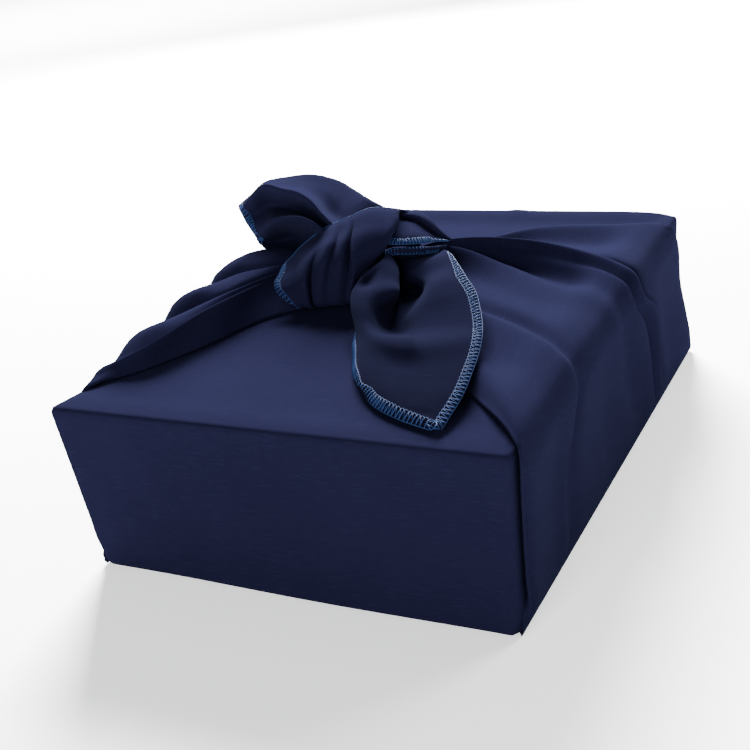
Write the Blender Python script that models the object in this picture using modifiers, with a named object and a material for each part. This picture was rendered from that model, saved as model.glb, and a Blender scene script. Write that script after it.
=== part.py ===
"""Square cloth wrapped round a box and tied on top with a square knot."""
import math
from collections import namedtuple

import bmesh
import bpy
import numpy as np
from mathutils import Vector

MM = 0.001

# outside of the wrapped box, and the cloth
HALF_WIDTH = 134.0       # middle of the cloth on the left and right ends of the front sheet
HALF_DEPTH = 185.5       # middle of the cloth on the front and back walls
HEIGHT = 107.0           # top edge of the walls
CLOTH = 1.6              # thickness of the cloth
TOP_LEAN = 3.0           # how far the walls lean out at the top
CORNER = 3.0             # rounding of the cloth at the upright corners
FLARE = 10.0             # the back right foot stands out by this much
TURN_BACK = 12.0         # edges of the gathered ends turn under by this much
LAYER = 2.7              # between the middles of two layers of the turned edge
# how much of the turned edge is left from the top edge to the knot
TURN_SHARES = (0.5, 0.4, 0.4, 0.5, 0.3, 0.1, 0.05)

# the box in the cloth
BOX_GAP = 1.0
BOX_EDGE = 5.0

# --- tables: one row for each fold of the gathered ends ----------------------
# y on the floor, y and standing-out at half height, the same near the top,
# y, standing-out and lift where it turns over the top edge, then y and lift
# nearer the knot, y and lift next to the knot, and y and z where it enters it
Fold = namedtuple("Fold", "name floor_y mid_y mid_out high_y high_out edge_y edge_out "
                          "edge_lift near_y near_lift inner_y inner_lift root_y root_z")

RIGHT_FOLDS = (
    Fold("front edge", -178, -181, 5.2, -179, 5.2, -170, 5.0, 5.6, -132, 5.0, -81, 5.2, -14, 113),
    Fold("front pleat", -168, -168, 6.6, -165, 6.4, -155, 5.5, 8.0, -116, 8.5, -68, 9.5, -8, 117),
    Fold("front dip", -142, -138, 2.4, -132, 2.4, -122, 1.5, 3.4, -92, 4.0, -52, 6.0, -2, 115),
    Fold("swell", -122, -122, 3.6, -110, 4.0, -99, 3.0, 5.5, -74, 6.5, -40, 8.5, 2, 118),
    Fold("long crease", -110, -105, 2.0, -87, 2.0, -81, 1.0, 3.0, -59, 3.6, -29, 6.5, 6, 116),
    Fold("long ridge", -64, -68, 5.0, -69, 5.0, -73, 4.0, 6.0, -50, 7.0, -20, 10.5, 11, 120),
    Fold("wide dip", -15, -25, 2.4, -28, 2.4, -30, 1.5, 3.4, -24, 3.6, -2, 8.0, 18, 119),
    Fold("low ridge", 28, 20, 4.0, 8, 4.5, 2, 3.5, 6.0, 3, 9.5, 20, 17, 30, 128),
    Fold("deep valley", 52, 40, 3.0, 26, 3.0, 18, 2.0, 4.0, 29, 4.2, 40, 8, 39, 122),
    Fold("inner arc", 76, 60, 9.0, 43, 7.0, 32, 4.5, 7.5, 42, 9.0, 51, 13, 44, 126),
    Fold("arc crease", 84, 71, 7.0, 53, 5.0, 41, 3.5, 6.5, 49, 10.5, 58, 15, 48, 128),
    Fold("main ridge", 92, 83, 15.0, 66, 12.0, 51, 6.5, 10.5, 58, 14.0, 67, 18.5, 52, 131),
    Fold("back valley", 122, 110, 8.0, 98, 5.0, 82, 2.5, 3.6, 84, 4.2, 85, 9, 57, 124),
    Fold("back swell", 152, 148, 6.5, 138, 5.0, 122, 4.0, 5.0, 120, 5.2, 110, 9, 61, 123),
    Fold("back edge", 178, 180, 5.4, 169, 5.2, 157, 5.0, 5.6, 150, 5.2, 132, 6.0, 66, 118),
)

LEFT_FOLDS = (
    Fold("front edge", -178, -177, 5.2, -173, 5.2, -153, 5.0, 5.6, -133, 5.0, -101, 5.4, -22, 113),
    Fold("front ridge", -164, -160, 6.6, -152, 6.6, -133, 6.0, 8.5, -97, 11.0, -58, 14.5, -18, 124),
    Fold("front crease", -152, -147, 3.0, -141, 3.0, -125, 2.5, 4.5, -88, 7.0, -49, 11, -14, 122),
    Fold("front swell", -120, -118, 7.0, -110, 8.0, -101, 7.5, 12.0, -73, 12.5, -37, 16, -10, 128),
    Fold("middle ridge", -92, -90, 7.0, -82, 8.0, -78, 6.5, 12.5, -61, 14.5, -26, 18, -6, 131),
    Fold("middle crease", -79, -77, 4.0, -72, 5.0, -70, 3.5, 8.5, -53, 9.0, -18, 13, -2, 127),
    Fold("middle swell", -52, -51, 8.0, -49, 9.0, -48, 8.5, 14.5, -34, 15.5, -7, 20, 2, 132),
    Fold("rear ridge", -29, -29, 8.0, -28, 9.0, -27, 7.5, 15.5, -17, 17.5, 1, 22, 6, 134),
    Fold("rear crease", -17, -17, 5.0, -17, 6.0, -18, 4.5, 10.5, -8, 12.0, 6, 16, 10, 130),
    Fold("rear swell", 14, 14, 9.0, 13, 11.0, 12, 10.5, 20.0, 13, 20.5, 14, 24, 14, 134),
    Fold("rear shoulder", 48, 48, 9.0, 46, 10.0, 44, 8.5, 17.5, 36, 19.0, 24, 23, 18, 133),
    Fold("back valley", 80, 79, 5.0, 76, 5.0, 72, 3.5, 6.5, 60, 8.0, 40, 13, 23, 127),
    Fold("back ridge", 110, 109, 7.0, 105, 7.0, 100, 5.5, 9.0, 84, 10.0, 54, 15, 28, 127),
    Fold("back dip", 142, 140, 4.0, 134, 4.0, 124, 3.0, 4.0, 106, 5.0, 68, 9, 33, 121),
    Fold("back edge", 178, 180, 5.4, 172, 5.2, 156, 5.0, 5.6, 139, 5.4, 92, 6.0, 38, 116),
)

# levels of the walls: how far in from the wall, height, and share of the
# corner pleat's full depth
Level = namedtuple("Level", "inset z tuck")
LEVELS = (
    Level(1.2, CLOTH / 2, 0), Level(-0.2, 2.6, 0), Level(0.0, 15.0, 0.08),
    Level(0.0, 32.0, 0.6), Level(0.0, 57.0, 1.0), Level(0.0, 86.0, 1.0),
)
MIDDLE_Z, HIGH_Z = 57.0, 86.0
STEP_TUCK = 0.2          # below this share the pleat is a plain step, not yet folded over
FOOT_WAVE = 1.2

# the flaps beyond the walls: distance in from the wall, height, turn round the
# corner, and half width once the flap lies inside the top edges
Flap = namedtuple("Flap", "inset z tuck half")
NEAR_FLAP = (
    Flap(0.0, 99.0, 36, 0), Flap(0.1, 104.2, 38, 0), Flap(0.9, 106.2, 38, 0),
    Flap(4.0, 106.9, 34, 0), Flap(24, 106.9, 0, 131), Flap(62, 106.7, 0, 131),
    Flap(105, 106.3, 0, 131), Flap(150, 106.0, 0, 112), Flap(180, 106.0, 0, 84),
    Flap(205, 106.0, 0, 60),
)
FAR_FLAP = (
    Flap(0.0, 99.0, 34, 0), Flap(0.1, 104.2, 40, 0), Flap(0.9, 106.2, 40, 0),
    Flap(4.0, 106.9, 36, 0), Flap(24, 106.9, 0, 131), Flap(62, 106.5, 0, 131),
    Flap(110, 106.3, 0, 131), Flap(140, 107.0, 0, 96), Flap(165, 109.0, 0, 70),
    Flap(200, 109.2, 0, 44),
)
# columns of the front and back sheets: part they run in, and share of its length
Column = namedtuple("Column", "part share")
SHEET_COLUMNS = (
    Column("wall", 0), Column("wall", 0.28), Column("wall", 0.55), Column("wall", 0.8),
    Column("wall", 0.94), Column("corner", 0), Column("corner", 0.5), Column("corner", 1),
    Column("tuck", 0.5), Column("tuck", 1),
)

# x of the stations of each gathered end
Reach = namedtuple("Reach", "near inner root end")
RIGHT_REACH = Reach(100, 55, 12, -8)
LEFT_REACH = Reach(-118, -95, -66, -48)

# --- tables: straps of the knot and the two free ends -------------------------
# centre, half width and half height of each section
Strap = namedtuple("Strap", "x y z half_width half_height")

FRONT_STRAP = (
    Strap(-45, -25, 108, 24, 6),
    Strap(-45, -25, 119, 26, 8),
    Strap(-41, -20, 129, 27, 10),
    Strap(-35, -11, 138, 26, 10),
    Strap(-30, 5, 145, 22, 11),
    Strap(-26, 22, 148, 17, 10),
    Strap(-24, 38, 146, 14, 10),
    Strap(-24, 50, 137, 13, 9),
    Strap(-26, 55, 124, 13, 7),
)

SIDE_STRAP = (
    Strap(-36, 22, 138, 14, 9),
    Strap(-20, 32, 142, 18, 10),
    Strap(-8, 38, 139, 21, 10),
    Strap(4, 42, 133, 22, 9),
    Strap(15, 46, 127, 21, 8),
)

HEART = (
    Strap(-78, 4, 121, 26, 8),
    Strap(-62, 6, 123, 34, 12),
    Strap(-42, 10, 125, 36, 16),
    Strap(-20, 18, 125, 40, 16),
    Strap(0, 25, 122, 44, 12),
    Strap(18, 28, 120, 40, 8),
)

# a free end: its left and right rims from the knot to the tip, how deep it is
# hollowed between them, and how far a ridge stands up along its middle
Ear = namedtuple("Ear", "left_x left_y left_z right_x right_y right_z hollow ridge")

FRONT_EAR = (
    Ear(-24, 14, 133, 20, 34, 134, 3, 0),
    Ear(-23, -6, 137, 35, 22, 136, 10, 0),
    Ear(-20, -26, 136, 51, -4, 132, 12, 0),
    Ear(-12, -50, 128, 66, -32, 125, 10, 0),
    Ear(0, -80, 119, 78, -62, 119, 6, 1),
    Ear(16, -108, 114.5, 86, -92, 115, 3, 1),
    Ear(36, -132, 112, 90, -118, 112.5, 1, 0.5),
    Ear(60, -151, 111, 92, -142, 111.5, 0, 0.3),
    Ear(86, -168, 110.6, 93, -166, 111, 0, 0),
)

BACK_EAR = (
    Ear(-30, 38, 152, -58, 6, 138, 4, 0),
    Ear(-44, 56, 161, -76, 10, 138, 10, 2),
    Ear(-64, 70, 166, -92, 14, 137, 15, 5),
    Ear(-88, 82, 167, -107, 17, 136, 17, 7),
    Ear(-114, 88, 163, -120, 22, 136, 14, 7),
    Ear(-138, 86, 157, -134, 34, 137, 9, 4),
    Ear(-156, 80, 151, -148, 48, 139, 4, 2),
    Ear(-168, 72, 146, -162, 62, 142, 0, 0),
)


# --- shared geometry -----------------------------------------------------------
def spline(points, steps):
    """Points of a smooth line through the given points, `steps` to a span."""
    points = np.asarray(points, dtype=float)
    ends = np.concatenate([[2 * points[0] - points[1]], points, [2 * points[-1] - points[-2]]])
    out = []
    for i in range(1, len(ends) - 2):
        a, b, c, d = ends[i - 1:i + 3]
        for j in range(steps):
            t = j / steps
            out.append(0.5 * (2 * b + (c - a) * t + (2 * a - 5 * b + 4 * c - d) * t ** 2
                              + (3 * b - a - 3 * c + d) * t ** 3))
    out.append(points[-1])
    return np.array(out)


def lean(z):
    return TOP_LEAN * min(max(z / HEIGHT, 0), 1)


def foot_x(side, y):
    """Half width of the foot; it stands out towards the back right corner."""
    extra = FLARE * (y + HALF_DEPTH) / (2 * HALF_DEPTH) if side > 0 else 0.0
    return side * (HALF_WIDTH + extra)


def fold_line(fold, side, reach):
    """Stations of one fold from the floor to the knot; the first six are at LEVELS."""
    flare = foot_x(side, fold.floor_y) - side * HALF_WIDTH
    line = []
    for level in LEVELS:
        if level.z < 10:
            y = fold.floor_y * (1 - level.inset / HALF_DEPTH)
            line.append((side * (HALF_WIDTH - level.inset) + flare, y, level.z))
        elif level.z < HIGH_Z:
            t = min(level.z / MIDDLE_Z, 1.0)
            layered = min(fold.mid_out, 2 * LAYER) * (1 - math.exp(-level.z / 6))
            out = layered + max(fold.mid_out - 2 * LAYER, 0) * t
            line.append((side * (HALF_WIDTH + lean(level.z) + out) + flare * (1 - t),
                         fold.floor_y + (fold.mid_y - fold.floor_y) * t, level.z))
        else:
            line.append((side * (HALF_WIDTH + lean(level.z) + fold.high_out),
                         fold.high_y, level.z))
    turn = 4.0 + 0.35 * fold.edge_lift
    top = HEIGHT + fold.edge_lift
    at_edge = side * (HALF_WIDTH + TOP_LEAN + fold.edge_out)
    shift = (fold.near_y - fold.edge_y) * turn / abs(at_edge - reach.near)
    return line + [
        (at_edge, fold.edge_y, top - turn),
        (at_edge - side * 0.3 * turn, fold.edge_y + 0.3 * shift, top - 0.3 * turn),
        (at_edge - side * turn, fold.edge_y + shift, top),
        (reach.near, fold.near_y, HEIGHT + fold.near_lift),
        (reach.inner, fold.inner_y, HEIGHT + fold.inner_lift),
        (reach.root, fold.root_y, fold.root_z),
        (reach.end, 0.9 * fold.root_y + 1, 0.8 * fold.root_z + 0.2 * 124),
    ]


def turned_edge(edge, inner, side, corner_y):
    """Lines that turn the edge fold back under itself: where it lies under, then the turn."""
    out = []
    away = np.sign(corner_y)
    for k, (point, beside) in enumerate(zip(edge, inner)):
        level = LEVELS[k] if k < len(LEVELS) else None
        if level and level.tuck == 0:
            corner = corner_y * (1 - level.inset / HALF_DEPTH)
            foot = foot_x(side, corner_y) - side * level.inset
            out.append([(point[0] + (foot - point[0]) * t, point[1] + (corner - point[1]) * t,
                         point[2]) for t in (0.8, 0.54, 0.27)])
            continue
        up = {len(LEVELS): 0.25, len(LEVELS) + 1: 0.7}.get(k, 0.0 if level else 1.0)
        normal = np.array([side * (1 - up), 0, up])
        normal /= np.linalg.norm(normal)
        along = point - beside
        along -= normal * along.dot(normal)
        along /= np.linalg.norm(along)
        if level and level.tuck < STEP_TUCK:
            out.append([point + np.array([0, away * a, 0]) - normal * n
                        for a, n in ((0.6, 2.4), (0.4, 1.6), (0.2, 0.8))])
            continue
        share = level.tuck if level else TURN_SHARES[k - len(LEVELS)]
        round_out = min(1.0, 0.4 + share)
        out.append([point + along * a - normal * n
                    for a, n in ((-TURN_BACK * share, LAYER), (0.4 * round_out, 0.93 * LAYER),
                                 (1.4 * round_out, 0.5 * LAYER))])
    return [np.array([row[i] for row in out]) for i in range(3)]


def gathered_end(folds, side, reach, across):
    """Grid of a side wall and its gathered end: [fold][station]."""
    lines = np.array([fold_line(fold, side, reach) for fold in folds])
    middle = np.stack([spline(lines[:, k], across) for k in range(lines.shape[1])], axis=1)
    front = turned_edge(middle[0], middle[1], side, -HALF_DEPTH)
    back = turned_edge(middle[-1], middle[-2], side, HALF_DEPTH)
    return np.concatenate([front, middle, back[::-1]])


def sheet_point(course, tuck, column, side, facing):
    """One point of the front (facing -1) or back (facing 1) sheet."""
    inset, z, _, half = course
    flare = abs(foot_x(side, facing * HALF_DEPTH)) - HALF_WIDTH
    y = HALF_DEPTH + lean(z) - inset
    if z < 10 or half:
        full = half if half else HALF_WIDTH + flare - inset - 0.8
        room = {"wall": (0, 1 - 8 / full), "corner": (1 - 8 / full, 1 - 4 / full),
                "tuck": (1 - 4 / full, 1)}[column.part]
        share = room[0] + (room[1] - room[0]) * column.share
        wave = FOOT_WAVE * math.sin(2.3 * share * side + 1.0) * (1 - share ** 2) * (facing < 0)
        return (side * share * full, facing * (y + (wave if z < 10 else 0)), z)
    flat = HALF_WIDTH + lean(z) - inset + flare * max(0, 1 - z / MIDDLE_Z)
    if column.part == "wall":
        x = column.share * (flat - CORNER)
    elif column.part == "corner":
        angle = column.share * math.pi / 2
        x = flat - CORNER * (1 - math.sin(angle))
        y -= CORNER * (1 - math.cos(angle))
    else:
        x = flat
        y -= CORNER + column.share * (tuck - CORNER)
    return (side * x, facing * y, z)


def sheet(flap, facing, ends):
    """Grid of the front or back wall and its flap, [column][station]; each end of the
    wall reaches as far round the corner as the gathered end that starts there."""
    columns = [(-1, c) for c in reversed(SHEET_COLUMNS[1:])] + [(1, c) for c in SHEET_COLUMNS]
    grid = []
    for side, column in columns:
        line = []
        for k, course in enumerate([Flap(l.inset, l.z, 0, 0) for l in LEVELS] + list(flap)):
            tuck = course.tuck
            if k < len(LEVELS):
                tuck = HALF_DEPTH + lean(course.z) - abs(ends[side][k][1])
                tuck -= 1.2 if LEVELS[k].tuck < STEP_TUCK else 0
            line.append(sheet_point(course, tuck, column, side, facing))
        grid.append(line)
    return np.array(grid)


# --- meshes ---------------------------------------------------------------------
def add_grid(mesh, grid):
    rows, columns = grid.shape[:2]
    verts = [[mesh.verts.new(Vector(grid[i, j]) * MM) for j in range(columns)] for i in range(rows)]
    for i in range(rows - 1):
        for j in range(columns - 1):
            mesh.faces.new((verts[i][j], verts[i + 1][j], verts[i + 1][j + 1], verts[i][j + 1]))
    return verts


def to_object(mesh, name, material):
    data = bpy.data.meshes.new(name)
    mesh.to_mesh(data)
    mesh.free()
    data.materials.append(material)
    obj = bpy.data.objects.new(name, data)
    COLLECTION.objects.link(obj)
    return obj


def apply_modifiers(obj):
    graph = bpy.context.evaluated_depsgraph_get()
    data = bpy.data.meshes.new_from_object(obj.evaluated_get(graph))
    obj.modifiers.clear()
    obj.data = data


def thicken(obj):
    solid = obj.modifiers.new("thickness", "SOLIDIFY")
    solid.thickness = CLOTH * MM
    solid.offset = 0
    solid.use_even_offset = True
    solid.use_rim = True
    apply_modifiers(obj)


def stitch(mesh, column, line, corner):
    """Closes the inner turn of a corner pleat between a sheet's end and a gathered end."""
    turn = []
    for k, level in enumerate(LEVELS):
        a, b = column[k].co, line[k].co
        if level.tuck == 0:
            side, facing = corner
            spot = Vector((foot_x(side, facing * HALF_DEPTH) - side * level.inset,
                           facing * (HALF_DEPTH - level.inset), level.z)) * MM
        else:
            turned = 0.5 * LAYER * MM if level.tuck > STEP_TUCK else 0
            spot = (a + b) / 2 - Vector((0, corner[1] * turned, 0))
        turn.append(mesh.verts.new(spot))
    for left, right in ((column, turn), (turn, line)):
        for k in range(len(LEVELS) - 1):
            mesh.faces.new((left[k], right[k], right[k + 1], left[k + 1]))


def wrap_net(material):
    """Bottom, four walls, two flaps and two gathered ends as one sheet."""
    mesh = bmesh.new()
    ends = {1: gathered_end(RIGHT_FOLDS, 1, RIGHT_REACH, 2),
            -1: gathered_end(LEFT_FOLDS, -1, LEFT_REACH, 2)}
    right, left = add_grid(mesh, ends[1]), add_grid(mesh, ends[-1])
    near = add_grid(mesh, sheet(NEAR_FLAP, -1, {s: ends[s][0] for s in ends}))
    far = add_grid(mesh, sheet(FAR_FLAP, 1, {s: ends[s][-1] for s in ends}))
    stitch(mesh, near[-1], right[0], (1, -1))
    stitch(mesh, far[-1], right[-1], (1, 1))
    stitch(mesh, near[0], left[0], (-1, -1))
    stitch(mesh, far[0], left[-1], (-1, 1))
    floor = [e for e in mesh.edges if e.is_boundary
             and all(abs(v.co.z - CLOTH / 2 * MM) < 1e-6 for v in e.verts)]
    bmesh.ops.contextual_create(mesh, geom=floor)
    bmesh.ops.recalc_face_normals(mesh, faces=mesh.faces[:])
    obj = to_object(mesh, "cloth", material)
    thicken(obj)
    return obj


def strap(name, rows, wide_axis, pleats, depth, around, material):
    """Closed pleated strap through the sections of a table."""
    lines = spline([tuple(r) for r in rows], 2)
    mesh = bmesh.new()
    rings = []
    across = Vector(wide_axis)
    for k, (x, y, z, wide, high) in enumerate(lines):
        along = Vector(lines[min(k + 1, len(lines) - 1), :3] - lines[max(k - 1, 0), :3]).normalized()
        across = (across - along * across.dot(along)).normalized()
        up = along.cross(across).normalized()
        ring = []
        for i in range(around):
            a = 2 * math.pi * i / around
            fold = 1 + depth / high * math.cos(pleats * a)
            point = Vector((x, y, z)) + across * (wide * math.cos(a)) + up * (high * math.sin(a) * fold)
            ring.append(mesh.verts.new(point * MM))
        rings.append(ring)
    for a, b in zip(rings, rings[1:]):
        for i in range(around):
            j = (i + 1) % around
            mesh.faces.new((a[i], a[j], b[j], b[i]))
    mesh.faces.new(rings[0][::-1])
    mesh.faces.new(rings[-1])
    bmesh.ops.recalc_face_normals(mesh, faces=mesh.faces[:])
    return to_object(mesh, name, material)


def ear_grid(rows, along, across):
    """Grid of a cupped free end, [across][along]."""
    grid = []
    for i in range(across + 1):
        q = i / across
        line = []
        for row in spline([tuple(r) for r in rows], along):
            left, right, (hollow, ridge) = row[:3], row[3:6], row[6:]
            point = left + (right - left) * q
            bowl = math.sin(math.pi * q)
            point[2] += ridge * math.sin(3 * math.pi * q) ** 2 * bowl - hollow * bowl
            line.append(point)
        grid.append(line)
    return np.array(grid)


def ear(name, rows, material):
    """Free end of the cloth."""
    mesh = bmesh.new()
    add_grid(mesh, ear_grid(rows, 2, 10))
    bmesh.ops.recalc_face_normals(mesh, faces=mesh.faces[:])
    obj = to_object(mesh, name, material)
    thicken(obj)
    return obj


def fill_cavities(obj):
    """Keeps the outer skin, so that small closed hollows in the knot are solid."""
    mesh = bmesh.new()
    mesh.from_mesh(obj.data)
    left = set(mesh.faces)
    skins = []
    while left:
        skin, stack = set(), [left.pop()]
        while stack:
            face = stack.pop()
            skin.add(face)
            beside = (f for e in face.edges if e.is_manifold for f in e.link_faces)
            for other in left.intersection(beside):
                left.discard(other)
                stack.append(other)
        skins.append(skin)
    outer = max(skins, key=len)
    bmesh.ops.delete(mesh, geom=[f for skin in skins if skin is not outer for f in skin],
                     context="FACES")
    mesh.to_mesh(obj.data)
    mesh.free()


def join_solid(obj, other):
    union = obj.modifiers.new("join", "BOOLEAN")
    union.operation = "UNION"
    union.solver = "EXACT"
    union.use_self = True
    union.object = other
    apply_modifiers(obj)
    bpy.data.objects.remove(other)


def carton(material):
    mesh = bmesh.new()
    bmesh.ops.create_cube(mesh, size=1)
    half_x = HALF_WIDTH - CLOTH / 2 - BOX_GAP
    half_y = HALF_DEPTH - CLOTH / 2 - BOX_GAP
    low = CLOTH + 0.3
    high = 106.0 - CLOTH / 2 - 0.5
    for v in mesh.verts:
        v.co = Vector((v.co.x * 2 * half_x, v.co.y * 2 * half_y,
                       low if v.co.z < 0 else high)) * MM
    bmesh.ops.bevel(mesh, geom=mesh.edges[:], offset=BOX_EDGE * MM, segments=2,
                    profile=0.5, affect="EDGES")
    return to_object(mesh, "box", material)


def make_material(name, colour, rough):
    material = bpy.data.materials.new(name)
    material.use_nodes = True
    shader = material.node_tree.nodes["Principled BSDF"]
    shader.inputs["Base Color"].default_value = (*colour, 1)
    shader.inputs["Roughness"].default_value = rough
    return material


for old in list(bpy.data.objects):
    bpy.data.objects.remove(old)
COLLECTION = bpy.data.collections.new("furoshiki_wrap")
bpy.context.scene.collection.children.link(COLLECTION)

navy = make_material("navy cloth", (0.02, 0.027, 0.09), 0.8)
board = make_material("plain board", (0.72, 0.68, 0.6), 0.85)

cloth = wrap_net(navy)
for piece in (strap("heart", HEART, (0, 1, 0), 1, 0, 16, navy),
              strap("front strap", FRONT_STRAP, (1, 0, 0), 9, 1.5, 32, navy),
              strap("side strap", SIDE_STRAP, (0, 1, 0), 5, 1.0, 20, navy),
              ear("front ear", FRONT_EAR, navy),
              ear("back ear", BACK_EAR, navy)):
    join_solid(cloth, piece)
fill_cavities(cloth)
carton(board)

for obj in COLLECTION.objects:
    for polygon in obj.data.polygons:
        polygon.use_smooth = True
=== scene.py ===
import math

import bmesh
import bpy
import numpy as np
from mathutils import Matrix, Vector
from mathutils.bvhtree import BVHTree


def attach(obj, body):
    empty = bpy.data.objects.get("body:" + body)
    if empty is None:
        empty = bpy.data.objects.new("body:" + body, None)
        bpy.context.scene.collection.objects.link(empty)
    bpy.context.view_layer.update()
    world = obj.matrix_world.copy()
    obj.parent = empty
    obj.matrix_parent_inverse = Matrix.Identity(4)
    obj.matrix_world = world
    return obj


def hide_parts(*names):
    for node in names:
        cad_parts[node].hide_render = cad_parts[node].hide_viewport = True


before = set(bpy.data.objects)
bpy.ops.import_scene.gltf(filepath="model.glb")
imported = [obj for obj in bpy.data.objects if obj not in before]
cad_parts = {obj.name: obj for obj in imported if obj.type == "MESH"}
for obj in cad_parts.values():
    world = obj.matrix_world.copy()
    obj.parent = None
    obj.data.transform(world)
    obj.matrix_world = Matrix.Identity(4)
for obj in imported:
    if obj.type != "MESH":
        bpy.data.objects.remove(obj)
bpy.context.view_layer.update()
mm = 0.001


def chordSpline(points, counts):
    # smooth line through the points; counts holds the steps of each span
    p = np.asarray(points, dtype=float)
    gap = np.maximum(np.linalg.norm(np.diff(p[:, :3], axis=0), axis=1), 1e-6)
    slope = np.diff(p, axis=0) / gap[:, None]
    tangent = np.empty_like(p)
    tangent[1:-1] = ((slope[:-1] * gap[1:, None] + slope[1:] * gap[:-1, None])
                     / (gap[1:] + gap[:-1])[:, None])
    tangent[0], tangent[-1] = slope[0], slope[-1]
    line = []
    for i, steps in enumerate(counts):
        for j in range(steps):
            t = j / steps
            line.append((1 + 2 * t) * (1 - t) ** 2 * p[i] + t * (1 - t) ** 2 * gap[i] * tangent[i]
                        + t * t * (3 - 2 * t) * p[i + 1] + t * t * (t - 1) * gap[i] * tangent[i + 1])
    line.append(p[-1])
    return np.array(line)


def evenSpline(points, steps):
    # the same number of steps in every span, each value eased on its own
    p = np.asarray(points, dtype=float)
    p = np.concatenate([[2 * p[0] - p[1]], p, [2 * p[-1] - p[-2]]])
    t = (np.arange(steps) / steps)[:, None]
    line = [0.5 * (2 * b + (c - a) * t + (2 * a - 5 * b + 4 * c - d) * t ** 2
                   + (3 * b - a - 3 * c + d) * t ** 3)
            for a, b, c, d in zip(p, p[1:], p[2:], p[3:])]
    return np.concatenate(line + [p[-2:-1]])


def gridUv(grid):
    # lengths along the middle of the grid, so that the weave keeps its scale
    lengths = [np.median(np.linalg.norm(np.diff(grid, axis=axis), axis=2), axis=1 - axis) for axis in (0, 1)]
    u, v = (np.concatenate([[0], np.cumsum(length)]) for length in lengths)
    return np.stack(np.meshgrid(u, v, indexing="ij"), axis=2)


def linkMesh(mesh, name):
    # turns the faces outwards and puts the mesh in the scene
    bmesh.ops.recalc_face_normals(mesh, faces=mesh.faces[:])
    data = bpy.data.meshes.new(name)
    mesh.to_mesh(data)
    mesh.free()
    obj = bpy.data.objects.new(name, data)
    bpy.context.scene.collection.objects.link(obj)
    return obj


def applyModifiers(obj):
    graph = bpy.context.evaluated_depsgraph_get()
    data = bpy.data.meshes.new_from_object(obj.evaluated_get(graph))
    obj.modifiers.clear()
    obj.data = data


def shadeSmooth(obj):
    for polygon in obj.data.polygons:
        polygon.use_smooth = True


class ClothMesh:
    # gathers grids of points, in millimetres, into one mesh with a UV map; each vertex gets a painted shade,
    # the factor darkening the cloth colour, set from the two values at the two ends of the y span below
    paintedShadeSpan = (-175, 25)

    def __init__(self, tone=(1.0, 1.0)):
        self.mesh = bmesh.new()
        self.uv = self.mesh.loops.layers.uv.new("weave")
        self.tone = self.mesh.verts.layers.float.new("tone")
        self.level = tone

    def grid(self, grid, closed=False):
        rows, columns = grid.shape[:2]
        uvs = gridUv(grid)
        verts = [[self.mesh.verts.new(Vector(grid[i, j]) * mm) for j in range(columns)]
                 for i in range(rows)]
        for i in range(rows if closed else rows - 1):
            k = (i + 1) % rows
            for j in range(columns - 1):
                face = self.mesh.faces.new((verts[i][j], verts[k][j], verts[k][j + 1], verts[i][j + 1]))
                self.lay(face, [uvs[i, j], uvs[k, j], uvs[k, j + 1], uvs[i, j + 1]])
        return verts

    def lay(self, face, corners):
        for loop, corner in zip(face.loops, corners):
            loop[self.uv].uv = (corner[0] * mm, corner[1] * mm)

    def strip(self, left, right):
        for k in range(len(left) - 1):
            face = self.mesh.faces.new((left[k], right[k], right[k + 1], left[k + 1]))
            self.lay(face, [(0, left[k].co.z / mm), (2, right[k].co.z / mm),
                            (2, right[k + 1].co.z / mm), (0, left[k + 1].co.z / mm)])

    def toObject(self, name, thickness=None):
        for vert in self.mesh.verts:
            vert[self.tone] = np.interp(vert.co.y / mm, self.paintedShadeSpan, self.level)
        obj = linkMesh(self.mesh, name)
        if thickness:
            solid = obj.modifiers.new("thickness", "SOLIDIFY")
            solid.thickness = thickness * mm
            solid.offset = 0
            solid.use_even_offset = False
            applyModifiers(obj)
        return obj


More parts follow.
